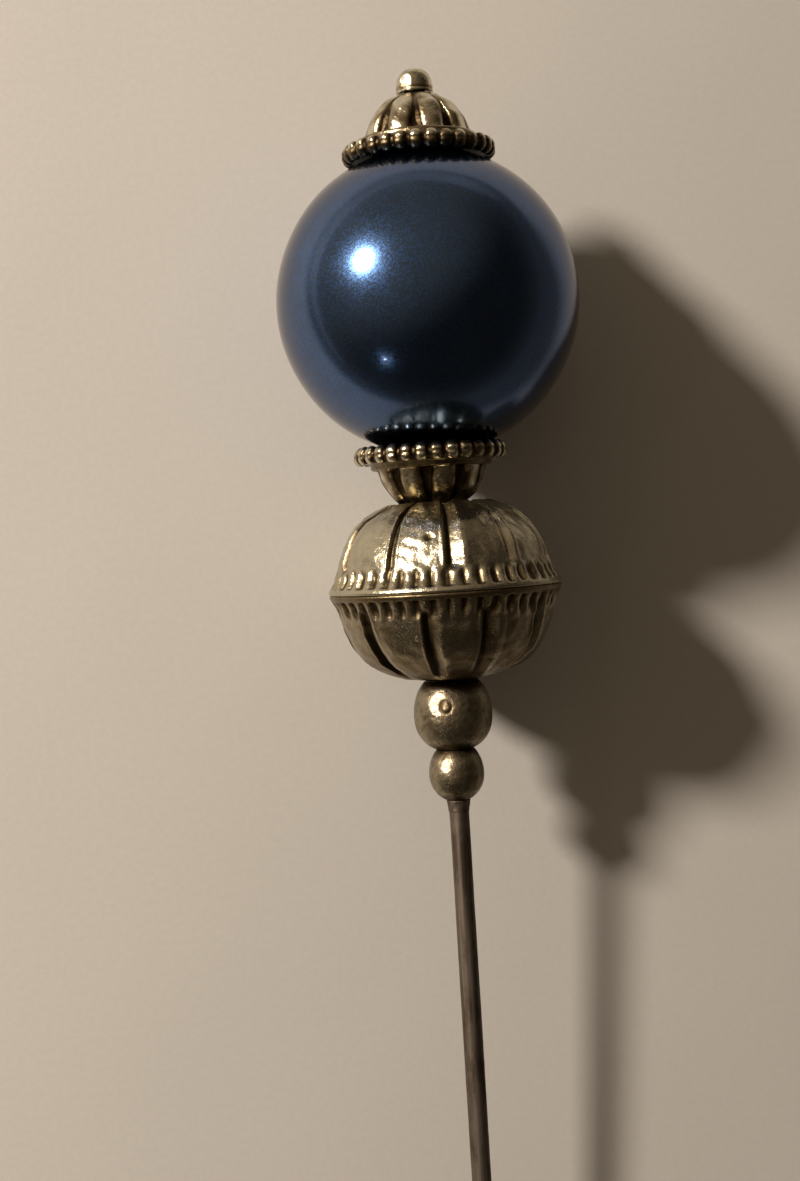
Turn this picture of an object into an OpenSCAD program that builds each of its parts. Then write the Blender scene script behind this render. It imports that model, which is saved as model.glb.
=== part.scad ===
// Beaded hat pin: a long steel pin with a pearl between two bead caps, a hollow fluted bead
// and two small beads at its head.
// The pin lies along Y. The origin is the seat where the bare shaft leaves the stop collar,
// the head is towards -Y and the point towards +Y.

/* [Pin] */
// Length from the tip of the point to the top of the finial
pin_length = 150; // [110:5:200]
// Diameter of the bare shaft
shaft_d = 1.08; // [0.9:0.02:1.2]
// Length of the ground taper at the point
point_length = 9; // [4:1:14]
// Height of the stop collar's top above the seat
collar_top = 0.64; // [0.6:0.02:1]
// Largest diameter of the stop collar
collar_d = 1.36; // [1.3:0.02:1.8]

/* [Small beads] */
// Diameter of the small bead above the collar
end_bead_d = 3; // [2.8:0.1:3.6]
// Height of that bead between its flat ends
end_bead_h = 2.76; // [2.4:0.02:2.8]
// Diameter of the spacer bead
spacer_bead_d = 4.24; // [4:0.04:5]
// Height of the spacer bead between its flat ends
spacer_bead_h = 3.63; // [3.2:0.01:3.7]

/* [Fluted bead] */
// Diameter of the fluted bead's body
fluted_d = 11.44; // [10.6:0.1:13]
// Diameter over the flange at the seam
flange_d = 12.5; // [12.3:0.1:14]
// Height of one shell from the seam to the crown
shell_height = 4.88; // [4.6:0.05:5.4]
// Number of panels round each shell
panels = 10; // [8:1:12]
// Width of the grooves between the panels
groove_width = 0.62; // [0.4:0.02:0.8]
// Depth of the grooves
groove_depth = 0.26; // [0.1:0.02:0.3]
// Number of teeth round the flange
teeth = 45; // [30:1:48]

/* [Bead caps] */
// Diameter over the rim of a cap
cap_d = 8.26; // [7.8:0.02:8.8]
// Height of the dome above the middle of the rim
cap_height = 3.15; // [2.8:0.05:3.5]
// Thickness of the stamped dome
cap_wall = 0.3; // [0.25:0.05:0.4]
// Number of beads round the rim
rim_beads = 30; // [20:1:32]
// How far the lower cap hangs to one side on the wire
cap_offset = 0.36; // [0:0.02:0.4]

/* [Pearl and finial] */
// Diameter of the pearl
pearl_d = 16.1; // [15:0.1:18]
// Diameter of the finial knob
finial_d = 1.98; // [1.8:0.02:2.4]
// Height of the finial knob
finial_height = 1.52; // [1.4:0.02:2]

/* [Fits] */
// Radial clearance between the wire and a bead that turns on it
bore_clearance = 0.04; // [0.03:0.01:0.06]
// Gap between two beads that turn against each other
face_gap = 0.02; // [0.02:0.01:0.05]

/* [Hidden] */
$fn = 96;

// Wire, with the shallow groove that the stop collar is crimped into
wire_r = shaft_d / 2;
bore_r = wire_r + bore_clearance;
tip_r = 0.03;
seat_clearance = 0.04;
groove_top = collar_top - seat_clearance;
crimp_depth = 0.08;

// Fluted bead
body_r = fluted_d / 2;
flange_r = flange_d / 2;
flange_half = 0.95;
shell_wall = 0.55;
shell_power = 2.6;
dish_r = 2.17 + cap_offset;
dish_depth = 0.82;
hub_r = 1.3;
hub_depth = 0.03;
hub_wall = 0.35;
tooth_floor_r = body_r - 0.08;
tooth_gap = 0.26;
tooth_z0 = 0.36;
tooth_z1 = 1.32;
groove_z0 = 1.42;
groove_past_hub = 0.5;
lower_groove_end_r = 3.4;
profile_steps = 14;

// Bead caps
cap_power = 2.5;
rim_section_r = 0.5;
rim_bead_r = 0.34;
rim_r = cap_d / 2 - 0.56;
dome_r = rim_r - rim_section_r + 0.02;
cap_hole_r = wire_r + cap_offset + bore_clearance;
cap_seat_gap = 0.06;
pearl_gap = 0.04;

// Heights along the pin, measured from the seat towards the finial
end_bead_z = collar_top + end_bead_h / 2;
spacer_bead_z = collar_top + end_bead_h + face_gap + spacer_bead_h / 2;
seam_z = spacer_bead_z + spacer_bead_h / 2 + face_gap + shell_height;
lower_cap_z = seam_z + shell_height - dish_depth + cap_seat_gap + cap_height;
pearl_r = pearl_d / 2;
pearl_z = lower_cap_z + rim_to_pearl(rim_r - cap_offset);
upper_cap_z = pearl_z + rim_to_pearl(rim_r);
finial_z = upper_cap_z + cap_height + face_gap;
head_top = finial_z + finial_height;
wire_top = head_top - 0.5;
tip_z = head_top - pin_length;

// Height from a cap's rim to the pearl's centre, where the rim comes nearest the axis at radius r
function rim_to_pearl(r) = sqrt(pow(pearl_r + rim_section_r + pearl_gap, 2) - pow(r, 2));

// Points of a superellipse quarter of half axes a and b, from angle t0 to t1
function dome_points(a, b, power, t0, t1, steps) = [
    for (i = [0 : steps])
        let (t = t0 + (t1 - t0) * i / steps)
        [a * pow(cos(t), 2 / power), b * pow(sin(t), 2 / power)]
];

// Angle at which the superellipse is at radius r, and at height h
function angle_at_radius(a, power, r) = acos(pow(r / a, power / 2));
function angle_at_height(b, power, h) = asin(pow(h / b, power / 2));

// Turns the pin's own axis, which is built upwards, so that the head is towards -Y
module along_pin(height) {
    rotate([90, 0, 0]) translate([0, 0, height]) children();
}

// A round bead with flat ends and a hole through it
module round_bead(diameter, height, hole_r) {
    difference() {
        intersection() {
            sphere(r = diameter / 2);
            cylinder(h = height, r = diameter, center = true);
        }
        cylinder(h = diameter + 1, r = hole_r, center = true);
    }
}

// Cross-section of one shell of the fluted bead, from the seam to its hub, which is sunk by depth
module shell_section(hub, depth) {
    t_flange = angle_at_height(shell_height, shell_power, flange_half);
    t_hub = angle_at_radius(body_r, shell_power, hub);
    inner_r = body_r - shell_wall;
    inner_h = shell_height - shell_wall;
    floor_z = shell_height - depth;
    neck_r = hub + hub_wall;
    t_neck = angle_at_radius(inner_r, shell_power, neck_r);
    floor_under = min(floor_z - shell_wall, inner_h * pow(sin(t_neck), 2 / shell_power));
    outer = dome_points(body_r, shell_height, shell_power, t_flange, t_hub, profile_steps);
    inner = dome_points(inner_r, inner_h, shell_power, t_neck, 0, profile_steps);
    polygon(concat(
        [[flange_r, 0], [flange_r, 0.05]],
        outer,
        [[hub, floor_z], [bore_r, floor_z], [bore_r, floor_under], [neck_r, floor_under]],
        inner
    ));
}

// One stamped shell with its grooves and flange teeth, seam at height 0 and crown upwards
module fluted_shell(hub, depth, first_groove, groove_end_r) {
    groove_t0 = angle_at_height(shell_height, shell_power, groove_z0);
    groove_t1 = angle_at_radius(body_r, shell_power, groove_end_r);
    bottom = dome_points(body_r - groove_depth, shell_height - groove_depth, shell_power,
                         groove_t0, groove_t1, profile_steps);
    beyond = dome_points(body_r + 1, shell_height + 1, shell_power, groove_t1, groove_t0, 6);
    difference() {
        rotate_extrude() shell_section(hub, depth);
        for (i = [0 : panels - 1])
            rotate([90, 0, first_groove + i * 360 / panels])
                linear_extrude(height = groove_width, center = true)
                    polygon(concat(bottom, beyond));
        for (i = [0 : teeth - 1])
            rotate([0, 0, (i + 0.5) * 360 / teeth])
                translate([tooth_floor_r, -tooth_gap / 2, tooth_z0])
                    cube([1, tooth_gap, tooth_z1 - tooth_z0]);
    }
}

// A bead cap: a stamped dome inside a rim set with small beads, rim at height 0 and dome upwards
module bead_cap() {
    t_hole = angle_at_radius(dome_r, cap_power, cap_hole_r);
    inner_r = dome_r - cap_wall;
    inner_h = cap_height - cap_wall;
    t_inner = angle_at_radius(inner_r, cap_power, cap_hole_r);
    outer = dome_points(dome_r, cap_height, cap_power, 0, t_hole, profile_steps);
    inner = dome_points(inner_r, inner_h, cap_power, t_inner, 0, profile_steps);
    rotate_extrude() polygon(concat(outer, inner));
    rotate_extrude() translate([rim_r, 0]) circle(r = rim_section_r);
    for (i = [0 : rim_beads - 1])
        rotate([0, 0, i * 360 / rim_beads])
            translate([cap_d / 2 - rim_bead_r, 0, 0]) sphere(r = rim_bead_r);
}

// The whole wire, from its point to its end in the finial
module wire() {
    rotate_extrude() polygon([
        [0, tip_z],
        [tip_r, tip_z],
        [wire_r, tip_z + point_length],
        [wire_r, 0],
        [wire_r - crimp_depth, groove_top / 2],
        [wire_r, groove_top],
        [wire_r, wire_top],
        [0, wire_top]
    ]);
}

module pin_shaft() {
    color("#5d564e") along_pin(0) wire();
}

module stop_collar() {
    collar_height = collar_top - seat_clearance;
    color("#8d8676") along_pin(0) difference() {
        translate([0, 0, seat_clearance])
            cylinder(h = collar_height, r1 = collar_d / 2 - 0.06, r2 = collar_d / 2);
        wire();
    }
}

module end_bead() {
    color("#8f8873") along_pin(end_bead_z) round_bead(end_bead_d, end_bead_h, wire_r);
}

module spacer_bead() {
    color("#93897a") along_pin(spacer_bead_z) round_bead(spacer_bead_d, spacer_bead_h, bore_r);
}

module fluted_bead_upper_shell() {
    color("#a39a86") along_pin(seam_z)
        fluted_shell(dish_r, dish_depth, -90, dish_r + groove_past_hub);
}

module fluted_bead_lower_shell() {
    color("#9a917d") along_pin(seam_z) mirror([0, 0, 1])
        fluted_shell(hub_r, hub_depth, -90 + 180 / panels, lower_groove_end_r);
}

module lower_bead_cap() {
    color("#b3aa94") along_pin(lower_cap_z)
        translate([cap_offset, 0, 0]) mirror([0, 0, 1]) bead_cap();
}

module pearl_bead() {
    color("#1d2536") along_pin(pearl_z) difference() {
        sphere(r = pearl_r);
        cylinder(h = pearl_d + 1, r = bore_r, center = true);
    }
}

module upper_bead_cap() {
    color("#b3aa94") along_pin(upper_cap_z) bead_cap();
}

// The knob is a cylinder with a rounded top, closed over the end of the wire
module finial_knob() {
    crown_r = 0.5;
    knob_r = finial_d / 2;
    color("#a89f8a") along_pin(finial_z) difference() {
        rotate_extrude() union() {
            square([knob_r, finial_height - crown_r]);
            square([knob_r - crown_r, finial_height]);
            intersection() {
                translate([knob_r - crown_r, finial_height - crown_r]) circle(r = crown_r);
                translate([knob_r - crown_r, finial_height - crown_r]) square(crown_r);
            }
        }
        translate([0, 0, -1]) cylinder(h = wire_top - finial_z + 1, r = wire_r);
    }
}

pin_shaft();
finial_knob();
upper_bead_cap();
pearl_bead();
lower_bead_cap();
fluted_bead_upper_shell();
fluted_bead_lower_shell();
spacer_bead();
end_bead();
stop_collar();
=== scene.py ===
"""Looks of a beaded hat pin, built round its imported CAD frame.

Lengths are in millimetres until a mesh is made. A height runs along the pin from the seat
towards the head, which is -Y. An angle turns about the pin: 0 degrees faces +Z, 90 faces -X.
"""

import math

import bmesh
import bpy
import numpy as np
from mathutils import Matrix, Vector


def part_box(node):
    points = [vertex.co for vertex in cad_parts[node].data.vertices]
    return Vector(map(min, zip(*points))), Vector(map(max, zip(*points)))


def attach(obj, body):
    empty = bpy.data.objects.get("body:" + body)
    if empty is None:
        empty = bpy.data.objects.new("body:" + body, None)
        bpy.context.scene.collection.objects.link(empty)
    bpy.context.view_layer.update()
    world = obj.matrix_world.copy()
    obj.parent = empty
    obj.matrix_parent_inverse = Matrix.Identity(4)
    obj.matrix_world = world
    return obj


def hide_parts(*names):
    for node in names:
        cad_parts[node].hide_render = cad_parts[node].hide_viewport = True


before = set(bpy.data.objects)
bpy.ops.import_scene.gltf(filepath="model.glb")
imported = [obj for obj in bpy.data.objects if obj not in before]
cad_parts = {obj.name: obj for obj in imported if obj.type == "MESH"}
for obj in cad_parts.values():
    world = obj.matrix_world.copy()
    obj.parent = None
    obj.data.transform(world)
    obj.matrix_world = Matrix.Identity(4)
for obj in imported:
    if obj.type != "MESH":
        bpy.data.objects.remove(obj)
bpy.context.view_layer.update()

MM = 0.001
TURN_STEPS = 720
ROUND_STEPS = 240
BORE_R = 0.58
SNUG_R = 0.545


def span(node):
    """Lowest and highest point of a node along the pin, and its largest radius."""
    low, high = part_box(node)
    return -high.y / MM, -low.y / MM, (high.x - low.x) / 2 / MM


# Shape functions


def smooth(edge0, edge1, value):
    """0 below edge0, 1 above edge1 and a smooth rise between."""
    t = np.clip((value - edge0) / (edge1 - edge0), 0, 1)
    return t * t * (3 - 2 * t)


def ripple(points, wavelength, seed, count=26):
    """Smooth noise of about unit strength: plane waves in random directions."""
    rng = np.random.default_rng(seed)
    directions = rng.normal(size=(count, 3))
    directions /= np.linalg.norm(directions, axis=1)[:, None]
    waves = directions * (2 * math.pi / wavelength) * rng.uniform(0.6, 1.5, (count, 1))
    phases = rng.uniform(0, 2 * math.pi, count)
    return np.cos(points @ waves.T + phases).sum(-1) / math.sqrt(count / 2)


def worn_flat(places, centre, towards, limit):
    """How far points stand beyond a plane that faces a direction, at limit from the centre."""
    return np.maximum((places - centre) @ np.array(towards) - limit, 0)


def facing_way(angle, rise):
    """Unit vector that leaves the pin at an angle and rises towards the head, in degrees."""
    a, e = math.radians(angle), math.radians(rise)
    return (-math.sin(a) * math.cos(e), -math.sin(e), math.cos(a) * math.cos(e))


def angle_between(angles, centre):
    """Signed difference of two angles, wrapped into half a turn, in radians."""
    return (angles - centre + math.pi) % (2 * math.pi) - math.pi


def arc_points(centre, radius, start, end, count):
    """Points of an arc in the (radius, height) plane, angles in degrees."""
    t = np.radians(np.linspace(start, end, count))
    return np.stack([centre[0] + radius * np.cos(t), centre[1] + radius * np.sin(t)], 1)


def superellipse(a, b, power, low, high, count=600):
    """Points of the superellipse quarter of half axes a and b between two heights."""
    t0 = math.asin(min(1, low / b) ** (power / 2))
    t1 = math.asin(min(1, high / b) ** (power / 2))
    t = np.linspace(t0, t1, count)
    return np.stack([a * np.cos(t) ** (2 / power), b * np.sin(t) ** (2 / power)], 1)


def even_spacing(points, spacing):
    """The same line with its points about spacing apart."""
    steps = np.linalg.norm(np.diff(points, axis=0), axis=1)
    along = np.concatenate([[0], np.cumsum(steps)])
    count = max(2, int(round(along[-1] / spacing)) + 1)
    at = np.linspace(0, along[-1], count)
    return np.stack([np.interp(at, along, points[:, k]) for k in (0, 1)], 1)


def turned_points(profile, angles):
    """Points in space of a profile turned about the pin, one row for each angle."""
    r, z = profile[None, :, 0], profile[None, :, 1]
    a = angles[:, None]
    return np.stack([-r * np.sin(a), np.broadcast_to(-z, (len(angles), z.shape[1])), r * np.cos(a)], -1)


def full_turn(steps):
    return np.linspace(0, 2 * math.pi, steps, endpoint=False)


def lathe(name, profile, steps, push=None, grime_and_shade=None, closed=True, shift=(0, 0)):
    """Turns a profile of (radius, height) rows about the pin into a closed mesh.

    push moves each point out along the profile's own normal, recess is kept as a vertex
    attribute for the dirt in hollows and for painted shade, and both have one row for each
    angle. A closed profile runs anticlockwise, and an open one ends on the axis at both ends.
    """
    angles = full_turn(steps)
    if closed:
        tangent = np.roll(profile, -1, 0) - np.roll(profile, 1, 0)
    else:
        tangent = np.gradient(profile, axis=0)
    tangent /= np.linalg.norm(tangent, axis=1)[:, None] + 1e-12
    push = np.zeros((steps, len(profile))) if push is None else push
    grime_and_shade = np.zeros((steps, len(profile))) if grime_and_shade is None else grime_and_shade
    r = np.maximum(profile[:, 0] + push * tangent[:, 1], 0)
    z = profile[:, 1] - push * tangent[:, 0]
    a = angles[:, None]
    points = np.stack([shift[0] - r * np.sin(a), -z, shift[1] + r * np.cos(a)], -1) * MM
    count = len(profile)
    index = np.arange(steps * count).reshape(steps, count)
    turned = np.roll(index, -1, 0)
    if closed:
        here, up = index, np.roll(index, -1, 1)
        there, there_up = turned, np.roll(turned, -1, 1)
        ends = []
    else:
        here, up = index[:, 1:-2], index[:, 2:-1]
        there, there_up = turned[:, 1:-2], turned[:, 2:-1]
        ends = [(index[0, 0], turned[:, 1], index[:, 1]), (index[0, -1], index[:, -2], turned[:, -2])]
    quads = np.stack([here, there, there_up, up], -1).reshape(-1, 4).tolist()
    fans = [[int(tip), int(p), int(q)] for tip, ring, other in ends for p, q in zip(ring, other)]
    mesh = bpy.data.meshes.new(name)
    mesh.from_pydata(points.reshape(-1, 3).tolist(), [], quads + fans)
    attribute = mesh.attributes.new("grime_and_shade", "FLOAT", "POINT")
    attribute.data.foreach_set("value", grime_and_shade.astype(np.float32).ravel())
    remove_loose_points(mesh)
    mesh.polygons.foreach_set("use_smooth", [True] * len(mesh.polygons))
    piece = bpy.data.objects.new(name, mesh)
    bpy.context.scene.collection.objects.link(piece)
    return piece


def remove_loose_points(mesh):
    """Deletes the points that no face uses, such as the copies of a pole."""
    work = bmesh.new()
    work.from_mesh(mesh)
    loose = [v for v in work.verts if not v.link_faces]
    bmesh.ops.delete(work, geom=loose, context="VERTS")
    work.to_mesh(mesh)
    work.free()


def stand_for(piece, node, body, material):
    """The piece takes the place of a CAD node, on its body and in its material slot."""
    piece.data.materials.append(material)
    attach(piece, body)
    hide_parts(node)


# Materials


class Nodes:
    """A node tree with a short way to add nodes."""

    def __init__(self, tree):
        self.tree = tree

    def node(self, kind, inputs=(), **settings):
        """Adds a node. inputs maps a socket's name or number to a value or to another socket."""
        made = self.tree.nodes.new("ShaderNode" + kind)
        for key, value in settings.items():
            setattr(made, key, value)
        for key, value in dict(inputs).items():
            self.put(made.inputs[key], value)
        return made

    def put(self, socket, value):
        if isinstance(value, bpy.types.NodeSocket):
            self.tree.links.new(value, socket)
        else:
            socket.default_value = value

    def place(self, scale=(1, 1, 1)):
        """Places in the piece, in millimetres, stretched by scale."""
        coords = self.node("TexCoord").outputs["Object"]
        sizes = [s / MM for s in scale]
        return self.node("Mapping", {"Vector": coords, "Scale": sizes}).outputs[0]

    def noise(self, scale, detail, rough, place=None):
        where = self.place() if place is None else place
        inputs = {"Vector": where, "Scale": scale, "Detail": detail, "Roughness": rough}
        return self.node("TexNoise", inputs).outputs["Fac"]

    def cells(self, scale):
        return self.node("TexVoronoi", {"Vector": self.place(), "Scale": scale})

    def ramp(self, value, low, high, to_low=0.0, to_high=1.0):
        """value from low to high becomes to_low to to_high, smoothly and clamped."""
        inputs = {"Value": value, "From Min": low, "From Max": high, "To Min": to_low, "To Max": to_high}
        return self.node("MapRange", inputs, interpolation_type="SMOOTHSTEP").outputs[0]

    def math(self, operation, a, b=0.0):
        return self.node("Math", {0: a, 1: b}, operation=operation).outputs[0]

    def weighted(self, x, x_share, y, y_share):
        """x and y added in the given shares."""
        return self.math("ADD", self.math("MULTIPLY", x, x_share), self.math("MULTIPLY", y, y_share))

    def mix(self, share, a, b):
        """Mixes two colours."""
        made = self.node("Mix", {"Factor": share}, data_type="RGBA")
        self.put(made.inputs["A"], a)
        self.put(made.inputs["B"], b)
        return made.outputs["Result"]

    def bump(self, height, strength, distance, normal=None):
        """A bump whose distance is in millimetres."""
        inputs = {"Height": height, "Strength": strength, "Distance": distance * MM}
        if normal is not None:
            inputs["Normal"] = normal
        return self.node("Bump", inputs).outputs[0]

    def attribute(self, name):
        return self.node("Attribute", attribute_name=name, attribute_type="GEOMETRY").outputs["Fac"]


class Shader(Nodes):
    """The nodes of a new material."""

    def __init__(self, name):
        self.material = bpy.data.materials.new(name)
        self.material.use_nodes = True
        super().__init__(self.material.node_tree)
        self.surface = self.tree.nodes["Principled BSDF"]

    def finish(self, **inputs):
        """Sets the surface's sockets, whose names are given with _ for a space."""
        for key, value in inputs.items():
            self.put(self.surface.inputs[key.replace("_", " ")], value)
        return self.material


SHADE_AND_GRIME_BROWN = (0.045, 0.03, 0.016, 1)
STEEL = (0.185, 0.152, 0.124, 1)
STEEL_DARK = (0.085, 0.064, 0.048, 1)
STEEL_DRAWN = (0.24, 0.202, 0.17, 1)
PEARL_DEEP = (0.06, 0.109, 0.218, 1)
PEARL_PALE = (0.071, 0.125, 0.24, 1)
PEARL_FLAKE = (0.07, 0.2, 0.6, 1)
PEARL_EDGE = (0.64, 0.58, 0.53, 1)
PAPER = (0.80, 0.775, 0.74, 1)
PAPER_PALE = (0.83, 0.805, 0.77, 1)
PAPER_SHADED = (0.22, 0.205, 0.187, 1)
PAPER_UNLIT = (0.10, 0.09, 0.08, 1)


def aged_silver(name, clean, tarnish, wear_scale, shine):
    """Plated metal: bright where it is rubbed, brown and dull in the hollows, and dark where
    a piece paints shade into its vertex attribute.

    wear_scale sets how small its stains are, and shine is its roughness where it is clean.
    """
    s = Shader(name)
    # The vertex attribute holds grime in hollows and, on some pieces, painted shade. Both darken and
    # dull the metal.
    grime_and_shade = s.attribute("grime_and_shade")
    patches = s.noise(wear_scale, 5, 0.6)
    specks = s.noise(wear_scale * 5, 3, 0.7)
    stain_and_shade = s.math("ADD", grime_and_shade, s.ramp(patches, 0.35, 0.75, -0.07, 0.11))
    stain_and_shade = s.math("ADD", stain_and_shade, s.ramp(specks, 0.5, 0.8, 0.0, 0.22))
    dull = s.ramp(stain_and_shade, 0.0, 0.45)
    black = s.ramp(stain_and_shade, 0.35, 0.95)
    colour = s.mix(black, s.mix(dull, clean, tarnish), SHADE_AND_GRIME_BROWN)
    fine = s.noise(wear_scale * 14, 2, 0.6)
    dulled = s.ramp(stain_and_shade, 0.0, 0.9, shine, shine + 0.18)
    rough = s.math("ADD", dulled, s.ramp(fine, 0.3, 0.7, -0.03, 0.05))
    pits = s.ramp(s.noise(wear_scale * 3.2, 4, 0.65), 0.28, 0.6)
    normal = s.bump(pits, 0.5, 0.02)
    normal = s.bump(fine, 0.35, 0.006, normal)
    return s.finish(Base_Color=colour, Metallic=1.0, Roughness=rough, Normal=normal)


def drawn_steel():
    """Dark wire with long drawing marks and a mottled, handled surface."""
    s = Shader("drawn_steel")
    lines = s.noise(5.0, 5, 0.6, s.place((1.0, 0.02, 1.0)))
    mottle = s.noise(1.3, 5, 0.65, s.place((1.0, 0.35, 1.0)))
    colour = s.mix(s.ramp(mottle, 0.36, 0.64), STEEL, STEEL_DARK)
    colour = s.mix(s.ramp(lines, 0.42, 0.62, 0.0, 0.55), colour, STEEL_DRAWN)
    rough = s.math("ADD", s.ramp(mottle, 0.3, 0.7, 0.54, 0.68), s.ramp(lines, 0.4, 0.6, -0.06, 0.04))
    normal = s.bump(lines, 0.6, 0.012)
    normal = s.bump(s.noise(7.0, 3, 0.7), 0.35, 0.012, normal)
    return s.finish(Base_Color=colour, Metallic=1.0, Roughness=rough, Normal=normal)


def midnight_pearl():
    """Blue metallic flake under a clear glossy coat."""
    s = Shader("midnight_pearl")
    flakes = s.cells(16.0).outputs["Color"]
    sparkle = s.node("SeparateColor", {"Color": flakes}).outputs[0]
    cloud = s.noise(0.5, 3, 0.5)
    colour = s.mix(s.ramp(cloud, 0.3, 0.7), PEARL_DEEP, PEARL_PALE)
    colour = s.mix(s.ramp(sparkle, 0.45, 1.0, 0.0, 0.5), colour, PEARL_FLAKE)
    rough = s.ramp(sparkle, 0.0, 1.0, 0.17, 0.22)
    normal = s.bump(s.noise(9.0, 3, 0.6), 0.25, 0.006)
    s.finish(Base_Color=colour, Metallic=1.0, Roughness=rough, Normal=normal)
    peel = s.bump(s.noise(0.9, 2, 0.5), 0.1, 0.01)
    s.finish(Specular_Tint=PEARL_EDGE, Coat_Normal=peel)
    return s.finish(Coat_Weight=0.58, Coat_Roughness=0.07, Coat_IOR=1.5)


def pale_paper(core_start, core_end):
    """Pale paper, softly uneven, paler on the lamp's side.

    That is what the camera sees, a painted falloff of the lamp's light. Every other ray sees painted
    shade: dark beyond an edge and dark on the side away from the lamp. The edge runs round a core:
    a line parallel to the pin, SHEET_OFFSET to one side of it, between two places along it.
    """
    s = Shader("pale_paper")
    fibres = s.noise(3.0, 5, 0.6)
    sheet = s.noise(0.03, 2, 0.5)
    colour = s.mix(s.ramp(fibres, 0.35, 0.65), PAPER, PAPER_PALE)
    x, y, _ = s.node("SeparateXYZ", {0: s.place()}).outputs
    lamp_side = s.weighted(x, 0.85, y, -0.4)
    # Painted falloff of the lamp's light: the paper darkens towards PAPER_SHADED away from the lamp.
    colour = s.mix(s.ramp(lamp_side, -44, 48, 0.6, 0.0), colour, PAPER_SHADED)
    off_side = s.math("ADD", x, SHEET_OFFSET)
    nearest = s.node("Clamp", {"Value": y, "Min": core_start, "Max": core_end}).outputs[0]
    off_end = s.math("SUBTRACT", y, nearest)
    squares = s.math("ADD", s.math("POWER", off_side, 2.0), s.math("POWER", off_end, 2.0))
    away = s.math("SQRT", squares)
    top_side = s.weighted(x, 0.55, y, -0.83)
    # Painted shade for every ray but the camera's: PAPER_UNLIT beyond the sheet's edge and on the side
    # away from the lamp.
    beyond = s.math("MULTIPLY", s.ramp(away, 58, 84), s.ramp(top_side, 30, 85, 0.96, 0.5))
    shade_side = s.weighted(x, 0.86, y, -0.5)
    shaded = s.mix(beyond, colour, PAPER_UNLIT)
    shaded = s.mix(s.ramp(shade_side, -50, -16, 0.96, 0.0), shaded, PAPER_UNLIT)
    seen = s.node("LightPath").outputs["Is Camera Ray"]
    colour = s.mix(seen, shaded, colour)
    normal = s.bump(sheet, 0.5, 0.7)
    normal = s.bump(fibres, 0.2, 0.03, normal)
    return s.finish(Base_Color=colour, Roughness=0.75, Normal=normal, Specular_IOR_Level=0.25)


# Fluted bead

SEAM = span("fluted_bead_upper_shell")[0]
FLANGE_R = span("fluted_bead_upper_shell")[2]
SHELL_TOP = -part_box("fluted_bead_lower_shell")[1].y / MM
SHELL_HEIGHT = SEAM - SHELL_TOP
SHELL_A = 5.72
SHELL_POWER = 2.6
SHELL_WALL = 0.45
HUB_HOLE_R = 0.62
TEETH = 45
UPPER_GROOVES = (2.5, 36.0, 71.0, 108.0, 145.0, 180.0, 217.0, 252.0, 290.5, 329.0)
UPPER_WIDTHS = (1.3, 0.8, 1.0, 0.9, 1.1, 0.8, 1.0, 0.9, 1.0, 0.6)
LOWER_GROOVES = (-12.0, 20.0, 55.0, 92.0, 128.0, 163.0, 200.0, 236.0, 272.0, 310.0)
LOWER_WIDTHS = (1.15, 1.3, 1.2, 1.0, 0.9, 1.1, 1.0, 0.9, 1.0, 1.0)


def shell_profile(hub_r, hub_drop, lip_r):
    """Section of one shell: rounded lip at the seam, flare, body, hub, bore and inner wall."""
    top = SHELL_HEIGHT * (1 - (hub_r / SHELL_A) ** SHELL_POWER) ** (1 / SHELL_POWER)
    body = superellipse(SHELL_A, SHELL_HEIGHT, SHELL_POWER, 0.0, top)
    flare = (lip_r - SHELL_A) * np.exp(-((body[:, 1] / 0.7) ** 2))
    lip = 0.1
    rounding = lip - np.sqrt(np.maximum(lip**2 - np.maximum(lip - body[:, 1], 0) ** 2, 0))
    body[:, 0] += flare - rounding
    outside = even_spacing(body, 0.066)
    floor = SHELL_HEIGHT - hub_drop
    hub = [[hub_r - 0.06, max(floor, top - 0.1)], [hub_r - 0.1, floor], [HUB_HOLE_R, floor]]
    hub = even_spacing(np.array(hub), 0.2)
    inner_a, inner_b = SHELL_A - SHELL_WALL, SHELL_HEIGHT - SHELL_WALL
    inner_top = min(floor, top) - SHELL_WALL
    inner = superellipse(inner_a, inner_b, SHELL_POWER, 0.0, inner_top)[::-1]
    inside = even_spacing(np.concatenate([[[HUB_HOLE_R, inner_top]], inner]), 0.7)
    seam = np.array([[SHELL_A + 0.15, 0.0]])
    return np.concatenate([outside, hub, inside, seam]), len(outside)


def groove_field(angles, r, h, grooves, low, high, fade, dirt_width, narrow_r):
    """V grooves with a steep left wall: their depth, the dirt in them and their raised edges.

    grooves holds each one's angle in degrees and relative size. All of them narrow from the
    widest part of the shell to the radius narrow_r.
    """
    depth = np.zeros((len(angles), len(r)))
    dirt = np.zeros_like(depth)
    edge = np.zeros_like(depth)
    run = smooth(low, low + 0.5, h) * (1 - smooth(high - fade, high, h))
    width = np.interp(r, [narrow_r, SHELL_A], [0.6, 1.0])
    for centre, size in grooves:
        across = angle_between(angles, math.radians(centre))[:, None] * r / size
        half = np.where(across < 0, 0.24, 0.50) * width
        u = np.sqrt((across / half) ** 2 + 0.01)
        depth = np.maximum(depth, np.clip(1.06 - u, 0, 1) * run * (0.5 + 0.5 * size))
        dirt = np.maximum(dirt, np.exp(-(((across / width + 0.09) / dirt_width) ** 2)) * run)
        edge = np.maximum(edge, np.exp(-(((u - 1.35) / 0.3) ** 2)) * run)
    return depth, dirt, edge


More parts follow.
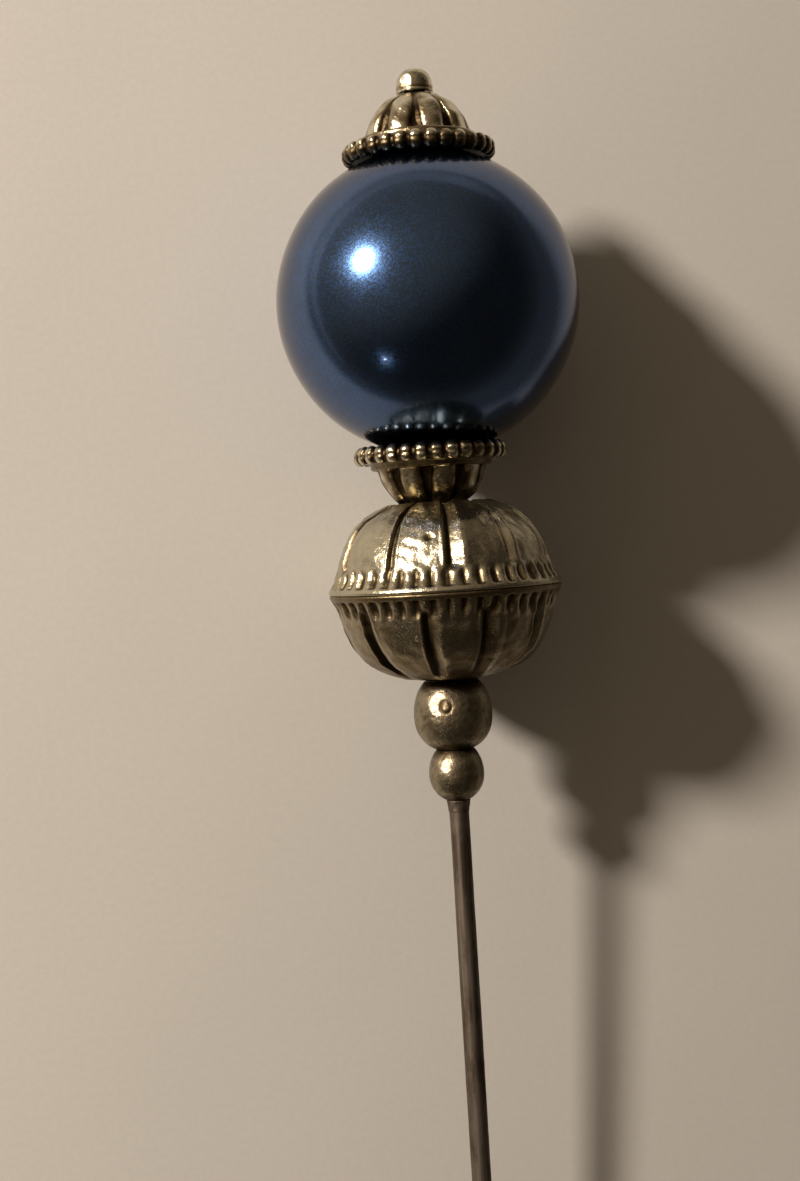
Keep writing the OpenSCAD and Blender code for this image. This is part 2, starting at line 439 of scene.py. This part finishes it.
def tooth_field(angles, h, rng):
    """Teeth beside the flange: their swollen ends, and the notches between them."""
    pitch = 2 * math.pi / TEETH
    which = np.floor(angles / pitch).astype(int)
    shift = rng.uniform(-0.08, 0.08, TEETH)[which]
    u = (angles / pitch - which - 0.5 + shift)[:, None] * 2
    length = rng.uniform(1.25, 1.65, TEETH)[which][:, None]
    weight = rng.uniform(0.4, 1.0, TEETH)[which][:, None]
    tooth = np.clip(1 - (np.abs(u) / 0.8) ** 2, 0, 1)
    end = tooth * weight * smooth(0.6, 1.0, h) * (1 - smooth(length - 0.35, length, h))
    notch = (1 - tooth) * smooth(0.30, 0.42, h) * (1 - smooth(0.8, 1.4, h))
    return end, notch


def fluted_shell(node, upwards, grooves, hub_r, hub_drop, run, lip, seed, material, marks=()):
    """One stamped shell.

    grooves holds the angle and the relative width of each groove. run is where grooves start,
    end and fade, and how wide their dirt is. lip is the radius of the lip at the seam and how
    much painted shade darkens the shell next to the seam: the panels get half as much, with
    tarnish. A mark is a pit's angle, height, two half sizes and depth.
    """
    profile, outer = shell_profile(hub_r, hub_drop, lip[0])
    angles = full_turn(TURN_STEPS)
    rng = np.random.default_rng(seed)
    r, h = profile[:outer, 0], profile[:outer, 1]
    groove, dirt, edge = groove_field(angles, r, h, grooves, *run, hub_r)
    tooth_end, notch = tooth_field(angles, h, rng)
    side = 1 if upwards else -1
    places = turned_points(np.stack([r, SEAM + side * h], 1), angles)
    fade_to_hub = 1 - smooth(0.0, 0.25, hub_r + 0.3 - r)
    body_part = smooth(0.9, 1.8, h)
    push = np.zeros((TURN_STEPS, len(profile)))
    push[:, :outer] = (
        -0.28 * groove
        + 0.03 * edge
        + 0.07 * tooth_end
        - 0.14 * notch
        + 0.030 * ripple(places, 2.6, seed) * body_part * fade_to_hub
        + 0.011 * ripple(places, 0.8, seed + 1) * smooth(0.15, 0.5, h)
    )
    grime_and_shade = np.full((TURN_STEPS, len(profile)), 0.7)
    # Painted shade: lip[1] darkens the shell next to the seam, and half of it darkens the panels, with
    # tarnish.
    lip_shade = lip[1] * (1 - smooth(0.2, 0.7, h))
    hub_dirt = 0.3 * smooth(2.8, 4.4, h)
    panel_shade_and_tarnish = 0.5 * lip[1] * smooth(0.9, 1.8, h)
    darkening = 0.9 * dirt + 0.8 * notch + lip_shade + hub_dirt + panel_shade_and_tarnish
    # Raised groove edges are kept light: rubbed clean, and a painted highlight where the panels are
    # painted darker.
    grime_and_shade[:, :outer] = darkening - (0.25 + panel_shade_and_tarnish) * edge - 0.1 * tooth_end
    for angle, height, across, along, depth in marks:
        du = angle_between(angles, math.radians(angle))[:, None] * r / across
        mark = np.exp(-((du**2 + ((h - height) / along) ** 2) ** 1.5))
        push[:, :outer] -= depth * mark
        grime_and_shade[:, :outer] += 0.9 * mark
    profile = profile * [1, side] + [0, SEAM]
    if not upwards:
        profile, push, grime_and_shade = profile[::-1], push[:, ::-1], grime_and_shade[:, ::-1]
    piece = lathe(node + "_stamped", profile, TURN_STEPS, push, grime_and_shade)
    stand_for(piece, node, "fluted_bead", material)


# Bead caps

CAP_HALF_RIM = 0.56
RIM_R = 3.57
RIM_SECTION = 0.36
RIM_BEADS = 30
RIM_BEAD_HEIGHT = 0.20
PETALS = 9
PETAL_A = 2.95
PETAL_B = 3.1
PETAL_POWER = 2.25
PETAL_FOOT = 0.72
CAP_HOLE_R = 0.93


def cap_profile():
    """Section of a cap: rim from its underside outwards, step, dome, hole and inside."""
    top = PETAL_B * (1 - (CAP_HOLE_R / PETAL_A) ** PETAL_POWER) ** (1 / PETAL_POWER)
    rim = even_spacing(arc_points((RIM_R, 0), RIM_SECTION, -150, 78, 200), 0.036)
    step = np.concatenate(
        [
            [[RIM_R - 0.10, 0.37], [3.24, 0.44]],
            arc_points((3.06, 0.60), 0.15, -15, 120, 8),
        ]
    )
    dome = even_spacing(superellipse(PETAL_A, PETAL_B, PETAL_POWER, PETAL_FOOT + 0.06, top), 0.066)
    wall = 0.28
    inner = superellipse(PETAL_A - wall - 0.1, PETAL_B - wall, PETAL_POWER, 0.0, top - wall)[::-1]
    inside = even_spacing(np.concatenate([[[CAP_HOLE_R, top - wall]], inner]), 0.5)
    parts = [rim, step, dome, inside]
    starts = np.cumsum([0] + [len(p) for p in parts])
    return np.concatenate(parts), slice(0, starts[1]), slice(starts[2], starts[3])


def rim_field(angles, section, painted_rim_shade, first_bead, rng):
    """Two rows of small beads round the rim, and how dark each point is: grime between the beads, and
    painted shade on the rim's lower half.
    """
    pitch = 2 * math.pi / RIM_BEADS
    turn = (angles - first_bead) / pitch
    which = np.floor(turn).astype(int) % RIM_BEADS
    u = (turn - np.floor(turn) - 0.5)[:, None] * 2
    weight = rng.uniform(0.74, 1.0, RIM_BEADS)[which][:, None]
    bead = np.clip(1 - (np.abs(u) / 0.8) ** 2.2, 0, 1) ** 0.7 * weight
    row = 1 - 0.3 * np.exp(-((section / 12) ** 2))
    reach = smooth(-118, -70, section) * (1 - smooth(52, 84, section))
    height = bead * row * reach
    # Painted shade: the given share darkens the rim's lower half.
    clean = smooth(0.35, 0.85, height) * (1 - painted_rim_shade * (1 - smooth(-15, 20, section)))
    return height, 1 - clean * weight


def petal_field(angles, r, h, first_gap):
    """Petals as bulging bars of even width, with gaps that narrow towards the top."""
    pitch = 2 * math.pi / PETALS
    off = (angles - first_gap + pitch / 2) % pitch - pitch / 2
    across = np.abs(off)[:, None] * r
    room = pitch / 2 * r
    rise = np.clip((h - PETAL_FOOT) / (PETAL_B - PETAL_FOOT), 0, 1)
    gap = np.interp(rise, [0, 0.5, 1], [0.34, 0.18, 0.04])
    depth = np.interp(rise, [0, 0.08, 0.6, 1], [0.10, 0.34, 0.25, 0.06])
    u = np.clip((across - gap) / (room - gap), 0, 1)
    bulge = np.sqrt(np.clip(1 - (1 - u) ** 2.4, 0, 1))
    floor = np.clip(1 - across / np.maximum(gap, 0.02), 0, 1)
    push = -depth * (1 - bulge) - 0.10 * floor * depth / 0.36
    return push, 0.95 * (1 - bulge) * np.clip(depth / 0.3, 0, 1)


def bead_cap(node, body, dome_up, centre_x, first_gap, first_bead, dirt, seed, material):
    """A stamped cap with petals inside a beaded rim. dirt is how dull its dome is."""
    low, high, _ = span(node)
    middle = low + CAP_HALF_RIM if dome_up else high - CAP_HALF_RIM
    profile, rim, dome = cap_profile()
    angles = full_turn(TURN_STEPS)
    rng = np.random.default_rng(seed)
    section = np.degrees(np.arctan2(profile[rim, 1], profile[rim, 0] - RIM_R))
    # The upper cap's rim gets painted shade over its lower half.
    beads, between = rim_field(angles, section, 0.85 if dome_up else 0.0, math.radians(first_bead), rng)
    r, h = profile[dome, 0], profile[dome, 1]
    petals, gaps = petal_field(angles, r, h, math.radians(first_gap))
    places = turned_points(np.stack([r, middle + h], 1), angles)
    push = np.zeros((TURN_STEPS, len(profile)))
    push[:, rim] = RIM_BEAD_HEIGHT * beads
    push[:, dome] = petals + 0.018 * ripple(places, 1.1, seed)
    grime_and_shade = np.full((TURN_STEPS, len(profile)), 0.9)
    # The second value holds grime between the beads and, on the upper cap, painted shade.
    grime_and_shade[:, rim] = 0.85 * between
    # Painted shade: the side of the rim that faces the pearl is made fully dark.
    underside = (section < -60).nonzero()[0]
    grime_and_shade[:, underside] = 1.0
    grime_and_shade[:, rim.stop : dome.start] = 0.35 + dirt
    grime_and_shade[:, dome] = gaps + dirt + 0.13 * ripple(places, 0.9, seed + 1)
    side = 1 if dome_up else -1
    profile = profile * [1, side] + [0, middle]
    if not dome_up:
        profile, push, grime_and_shade = profile[::-1], push[:, ::-1], grime_and_shade[:, ::-1]
    piece = lathe(node + "_stamped", profile, TURN_STEPS, push, grime_and_shade, shift=(centre_x, 0))
    stand_for(piece, node, body, material)


# Small beads, pearl, finial, collar and wire

BEAD_UNDERSIZE = 0.015
PEARL_UNDERSIZE = 0.012
PEARL_STEPS = 360
KNOB_DROP = 0.2
KNOB_FOOT = 0.4
COLLAR_STEPS = 120
WIRE_STEPS = 72
WIRE_UNDERSIZE = 0.006
TAPER = 9.0
POINT_R = 0.03


def barrel(radius, half, b_low, b_high, power_low, power_high, bore):
    """Closed section of a round bead whose lower and upper halves have their own curve."""
    upper = superellipse(radius, b_high, power_high, 0, half, 200)
    lower = superellipse(radius, b_low, power_low, 0, half, 200)[::-1] * [1, -1]
    outside = even_spacing(np.concatenate([lower, upper[1:]]), radius / 36)
    ends = np.array([[bore, half], [bore, -half]])
    return np.concatenate([outside, ends]), len(outside)


def small_bead(node, body, curve, seed, material, dents, flat, ring=None):
    """A cast round bead with worn dents and a worn flat, and on one of them a ring-shaped pit.

    curve holds the half heights, then the powers, of its lower and upper outline. flat is the
    angle and the rise that the flat faces, and how deep it is. ring is the pit's angle, height
    and radius.
    """
    low, high, radius = span(node)
    middle = (low + high) / 2
    half = (high - low) / 2
    bore = SNUG_R if body == "pin" else BORE_R
    profile, outer = barrel(radius - BEAD_UNDERSIZE, half, *curve, bore)
    angles = full_turn(ROUND_STEPS)
    r, h = profile[:outer, 0], profile[:outer, 1]
    places = turned_points(np.stack([r, middle + h], 1), angles)
    inner = smooth(0, 0.25, half - np.abs(h))
    push = np.zeros((ROUND_STEPS, len(profile)))
    grime_and_shade = np.full((ROUND_STEPS, len(profile)), 0.8)
    uneven = ripple(places, 1.5, seed)
    fine = ripple(places, 0.42, seed + 1)
    push[:, :outer] = inner * (dents * (uneven - 1) * 0.5 + dents * 0.22 * (fine - 1))
    flat_way = facing_way(flat[0], flat[1])
    push[:, :outer] -= worn_flat(places, np.array([0, -middle, 0]), flat_way, radius - flat[2])
    ends = 1 - smooth(0.0, 0.5, half - np.abs(h))
    grime_and_shade[:, :outer] = 0.16 - 0.05 * uneven - 0.05 * fine + 0.6 * ends
    if ring is not None:
        angle, height, size = ring
        across = angle_between(angles, math.radians(angle))[:, None] * r
        distance = np.hypot(across, h - height)
        groove = np.exp(-(((distance - size) / 0.09) ** 2))
        push[:, :outer] -= 0.038 * groove
        grime_and_shade[:, :outer] += 0.5 * groove + 0.3 * np.exp(-((distance / size / 1.3) ** 2))
    piece = lathe(node + "_worn", profile + [0, middle], ROUND_STEPS, push, grime_and_shade)
    stand_for(piece, node, body, material)


def pearl(material):
    """The large bead: a ball, very slightly uneven, with rounded edges at its hole."""
    low, high, radius = span("pearl_bead")
    middle = (low + high) / 2
    radius -= PEARL_UNDERSIZE
    reach = math.degrees(math.acos((BORE_R + 0.12) / radius))
    ball = arc_points((0, 0), radius, -reach, reach, 240)
    edge_height = ball[-1, 1] - 0.1
    hole = np.array([[BORE_R, edge_height], [BORE_R, -edge_height]])
    profile = np.concatenate([ball, even_spacing(hole, 2.0)]) + [0, middle]
    places = turned_points(profile, full_turn(PEARL_STEPS))
    push = 0.010 * ripple(places, 7.0, 5)
    push[:, len(ball) :] = 0
    piece = lathe("pearl_bead_coated", profile, PEARL_STEPS, push)
    stand_for(piece, "pearl_bead", "pearl", material)


def finial(material):
    """The knob: a bullet with a slight foot, closed over the end of the wire."""
    low, high, radius = span("finial_knob")
    height = high - low
    crown_height = height - KNOB_DROP - KNOB_FOOT
    foot = arc_points((radius - 0.09, 0.1), 0.08, -60, 70, 8)
    side = np.array([[0.995 * radius, 0.25]])
    crown = superellipse(0.985 * radius, crown_height, 2.3, 0.0, crown_height, 120) + [0, KNOB_FOOT]
    outside = even_spacing(np.concatenate([foot, side, crown]), 0.04)
    inside = np.array([[0.0, height - 0.5], [SNUG_R, height - 0.5], [SNUG_R, 0.0]])
    profile = np.concatenate([inside, outside]) + [0, low]
    places = turned_points(profile, full_turn(ROUND_STEPS))
    held = smooth(0, 0.3, profile[:, 0]) * smooth(0.0, 0.12, profile[:, 1] - low)
    push = 0.024 * (ripple(places, 1.5, 31) - 0.8) * held
    flat_centre = np.array([0, -low - 0.7, 0])
    push -= worn_flat(places, flat_centre, facing_way(-31, 6), radius - 0.10) * held
    push[:, : len(inside)] = 0
    neck = np.exp(-(((profile[:, 1] - low - 0.25) / 0.12) ** 2))
    grime_and_shade = np.broadcast_to(0.3 * neck + 0.12, push.shape) - 0.08 * ripple(places, 0.8, 33)
    piece = lathe("finial_knob_cast", profile, ROUND_STEPS, push, grime_and_shade, closed=False)
    stand_for(piece, "finial_knob", "pin", material)


def collar(material):
    """The stop collar: a soft fillet that narrows to the bare wire."""
    low, high, _ = span("stop_collar")
    t = np.linspace(0, 1, 24)
    outside = np.stack([0.56 + 0.085 * t**1.6, low + (high - low) * t], 1)
    wire = np.array([[0.535, high], [0.535, low]])
    profile = np.concatenate([outside, wire])
    push = 0.008 * ripple(turned_points(profile, full_turn(COLLAR_STEPS)), 0.5, 41)
    push[:, [0, -1, -2, len(outside) - 1]] = 0
    grime_and_shade = np.full(push.shape, 0.35)
    piece = lathe("stop_collar_crimped", profile, COLLAR_STEPS, push, grime_and_shade)
    stand_for(piece, "stop_collar", "pin", material)


def wire(material):
    """The pin's wire with its drawing marks, and a ground point."""
    low, high, radius = span("pin_shaft")
    radius -= WIRE_UNDERSIZE
    up = 1 - np.linspace(1, 0, 60)
    point = np.stack([POINT_R + (radius - POINT_R) * up**0.86, low + TAPER * up], 1)
    bare = np.stack([np.full(420, radius), np.linspace(low + TAPER, 0, 421)[1:]], 1)
    hidden = np.array([[radius, high * k] for k in (0.02, 0.5, 1.0)])
    profile = np.concatenate([[[0, low]], point, bare, hidden, [[0, high]]])
    places = turned_points(profile, full_turn(WIRE_STEPS))
    stretched = places * [1, 0.05, 1]
    bare_part = smooth(low, low + TAPER, profile[:, 1]) * (1 - smooth(-0.6, 0, profile[:, 1]))
    push = (0.007 * (ripple(stretched, 0.9, 51) - 1) + 0.002 * ripple(places, 1.0, 52)) * bare_part
    piece = lathe("pin_shaft_drawn", profile, WIRE_STEPS, push, closed=False)
    stand_for(piece, "pin_shaft", "pin", material)


# Stage

CAMERA_HEIGHT = 96.0
CAMERA_AT = (2.4, -14.93)
CAMERA_AIM = (2.42, -12.0)
CAMERA_LEAN = math.radians(3.58)
CAMERA_LENS = 54.9
FLOOR_HALF = 12000.0
FLOOR_ROLL = math.radians(-6.5)
SHEET_OFFSET = 24.0
FLAT_HALF = 26.0
LEVEL_HALF = 56.0
ROLL_END = (54.0, 200.0)
LAMP_WIDTH = 8.5
LAMP_POWER = 4.2
LAMP_COLOUR = (1.0, 0.885, 0.755)
FAR_LAMP_WIDTH = 0.9
FAR_LAMP_POWER = 0.024
FAR_LAMP_COLOUR = (1.0, 0.97, 0.92)
ROOM_COLOUR = (1.0, 0.77, 0.52, 1)
BACKDROP = (0.56, 0.50, 0.42, 1)
UP = Vector((-math.sin(CAMERA_LEAN), -math.cos(CAMERA_LEAN), 0))
LEFT = Vector((math.cos(CAMERA_LEAN), -math.sin(CAMERA_LEAN), 0))


def looking(position, target, up):
    """Rotation that looks from position to target with up upwards."""
    forward = (target - position).normalized()
    right = forward.cross(up).normalized()
    return Matrix((right, right.cross(forward), -forward)).transposed().to_4x4()


def make_camera():
    data = bpy.data.cameras.new("camera")
    data.lens = CAMERA_LENS
    data.sensor_width = 36
    data.clip_start = 0.005
    data.clip_end = 20
    camera = bpy.data.objects.new("camera", data)
    bpy.context.scene.collection.objects.link(camera)
    position = Vector((*CAMERA_AT, CAMERA_HEIGHT)) * MM
    target = Vector((*CAMERA_AIM, 0)) * MM
    camera.matrix_world = Matrix.Translation(position) @ looking(position, target, UP)
    bpy.context.scene.camera = camera


def make_floor():
    """A sheet that the pearl and the point both touch.

    It is rolled about the pin under the head, and levels off beside the head and towards the point.
    """
    pearl_low, pearl_high, pearl_r = span("pearl_bead")
    tip = span("pin_shaft")[0]
    reach = (pearl_low + pearl_high) / 2 - tip
    tilt = math.asin((pearl_r - 0.03) / reach)
    bend = np.linspace(FLAT_HALF, LEVEL_HALF, 24)
    across = np.concatenate([[-FLOOR_HALF], -bend[::-1], bend, [FLOOR_HALF]])
    along = np.concatenate([[-FLOOR_HALF], np.linspace(*ROLL_END, 40), [FLOOR_HALF]])
    distance = np.abs(across)
    turned = np.clip(distance - FLAT_HALF, 0, LEVEL_HALF - FLAT_HALF)
    bent = turned**2 / (2 * (LEVEL_HALF - FLAT_HALF)) + np.maximum(distance - LEVEL_HALF, 0)
    level = smooth(*ROLL_END, along)[:, None]
    rise = math.tan(FLOOR_ROLL) * np.sign(across) * ((1 - level) * bent + level * distance)
    mesh = bpy.data.meshes.new("floor")
    points = [(x * MM, y * MM, z * MM) for y, row in zip(along, rise) for x, z in zip(across, row)]
    count = len(across)
    corners = [row * count + i for row in range(len(along) - 1) for i in range(count - 1)]
    mesh.from_pydata(points, [], [(i, i + 1, count + i + 1, count + i) for i in corners])
    mesh.shade_smooth()
    floor = bpy.data.objects.new("floor", mesh)
    bpy.context.scene.collection.objects.link(floor)
    centre = Vector((0, -(pearl_low + pearl_high) / 2, 0)) * MM
    turn = Matrix.Rotation(FLOOR_ROLL, 4, "Y") @ Matrix.Rotation(tilt, 4, "X")
    drop = turn @ Vector((0, 0, -pearl_r * MM))
    floor.matrix_world = Matrix.Translation(centre + drop) @ turn
    mesh.materials.append(pale_paper(0.0, reach))


def make_lamp(name, direction, width, power, colour):
    """A distant round lamp. width is the angle it fills, and power is in watts per square metre."""
    data = bpy.data.lights.new(name, "SUN")
    data.angle = math.radians(width)
    data.energy = power
    data.color = colour
    lamp = bpy.data.objects.new(name, data)
    bpy.context.scene.collection.objects.link(lamp)
    lamp.matrix_world = looking(direction.normalized(), Vector((0, 0, 0)), UP)


def make_lamps():
    """A warm lamp above the image's upper left, and a weak small one above its lower left."""
    main = 0.712 * LEFT + 0.404 * UP + Vector((0, 0, 0.573))
    make_lamp("lamp", main, LAMP_WIDTH, LAMP_POWER, LAMP_COLOUR)
    far = 0.504 * LEFT - 0.735 * UP + Vector((0, 0, 0.50))
    make_lamp("far_lamp", far, FAR_LAMP_WIDTH, FAR_LAMP_POWER, FAR_LAMP_COLOUR)


def make_world():
    """A dim room: a soft glow on the lamp's side, near black elsewhere, plain behind the stage."""
    world = bpy.data.worlds.new("room")
    bpy.context.scene.world = world
    world.use_nodes = True
    s = Nodes(world.node_tree)
    direction = s.node("TexCoord").outputs["Generated"]

    def facing(way):
        inputs = {0: direction, 1: way.normalized()}
        return s.node("VectorMath", inputs, operation="DOT_PRODUCT").outputs["Value"]

    glow_way = 0.5 * LEFT + 0.62 * UP + Vector((0, 0, 0.52))
    side_way = LEFT + Vector((0, 0, 0.1))
    glow = s.ramp(facing(glow_way), 0.1, 1.0, 0.0, 0.25)
    side = s.ramp(facing(side_way), 0.2, 1.0, 0.0, 0.04)
    rise = s.node("SeparateXYZ", {0: direction}).outputs[2]
    horizon = s.ramp(rise, 0.0, 0.35, 0.07, 0.03)
    light = s.math("ADD", s.math("ADD", glow, side), horizon)
    room = s.tree.nodes["Background"]
    s.put(room.inputs["Strength"], light)
    s.put(room.inputs["Color"], ROOM_COLOUR)
    plain = s.node("Background", {"Color": BACKDROP, "Strength": 1.0})
    seen = s.node("LightPath").outputs["Is Camera Ray"]
    both = s.node("MixShader", {0: seen, 1: room.outputs[0], 2: plain.outputs[0]})
    s.put(s.tree.nodes["World Output"].inputs["Surface"], both.outputs[0])


def build_fluted_bead():
    bright = aged_silver("aged_silver", (0.53, 0.485, 0.365, 1), (0.27, 0.222, 0.135, 1), 1.1, 0.24)
    # The lower shell faces away from the lamp: its darker copy of the silver is tarnish and painted
    # shade.
    dull = aged_silver("dull_shaded_silver", (0.42, 0.36, 0.255, 1), (0.20, 0.152, 0.085, 1), 1.1, 0.25)
    fluted_shell(
        "fluted_bead_upper_shell",
        upwards=True,
        grooves=list(zip(UPPER_GROOVES, UPPER_WIDTHS)),
        hub_r=2.5,
        hub_drop=0.82,
        run=(1.0, 4.95, 0.6, 0.17),
        lip=(FLANGE_R - 0.01, 0),
        seed=11,
        material=bright,
        marks=[(-9.0, 2.82, 0.24, 0.15, 0.09)],
    )
    fluted_shell(
        "fluted_bead_lower_shell",
        upwards=False,
        grooves=list(zip(LOWER_GROOVES, LOWER_WIDTHS)),
        hub_r=1.3,
        hub_drop=0.03,
        run=(0.7, 4.75, 0.9, 0.24),
        lip=(FLANGE_R - 0.05, 0.4),
        seed=13,
        material=dull,
    )


def build_caps(material):
    offset = (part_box("lower_bead_cap")[0].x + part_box("lower_bead_cap")[1].x) / 2 / MM
    bead_cap("upper_bead_cap", "upper_cap", True, 0.0, -2.5, 3.0, 0.10, 17, material)
    bead_cap("lower_bead_cap", "lower_cap", False, offset, -6.4, -2.0, 0.30, 19, material)


def build_small_beads():
    worn = aged_silver("worn_silver", (0.37, 0.318, 0.225, 1), (0.15, 0.117, 0.075, 1), 1.2, 0.31)
    spacer_curve = (1.995, 2.35, 2.3, 2.2)
    spacer_ring = (-11.8, 0.58, 0.31)
    small_bead("spacer_bead", "spacer", spacer_curve, 23, worn, 0.009, (-24, 13, 0.04), spacer_ring)
    end_curve = (1.5, 1.75, 2.0, 2.2)
    small_bead("end_bead", "pin", end_curve, 27, worn, 0.010, (-24, 12, 0.006))


def build():
    cap_silver = aged_silver("cap_silver", (0.74, 0.68, 0.52, 1), (0.31, 0.248, 0.152, 1), 1.6, 0.155)
    steel = drawn_steel()
    build_fluted_bead()
    build_caps(cap_silver)
    build_small_beads()
    pearl(midnight_pearl())
    finial(cap_silver)
    collar(steel)
    wire(steel)


bpy.context.scene.view_settings.view_transform = "Standard"
make_camera()
build()
make_floor()
make_lamps()
make_world()
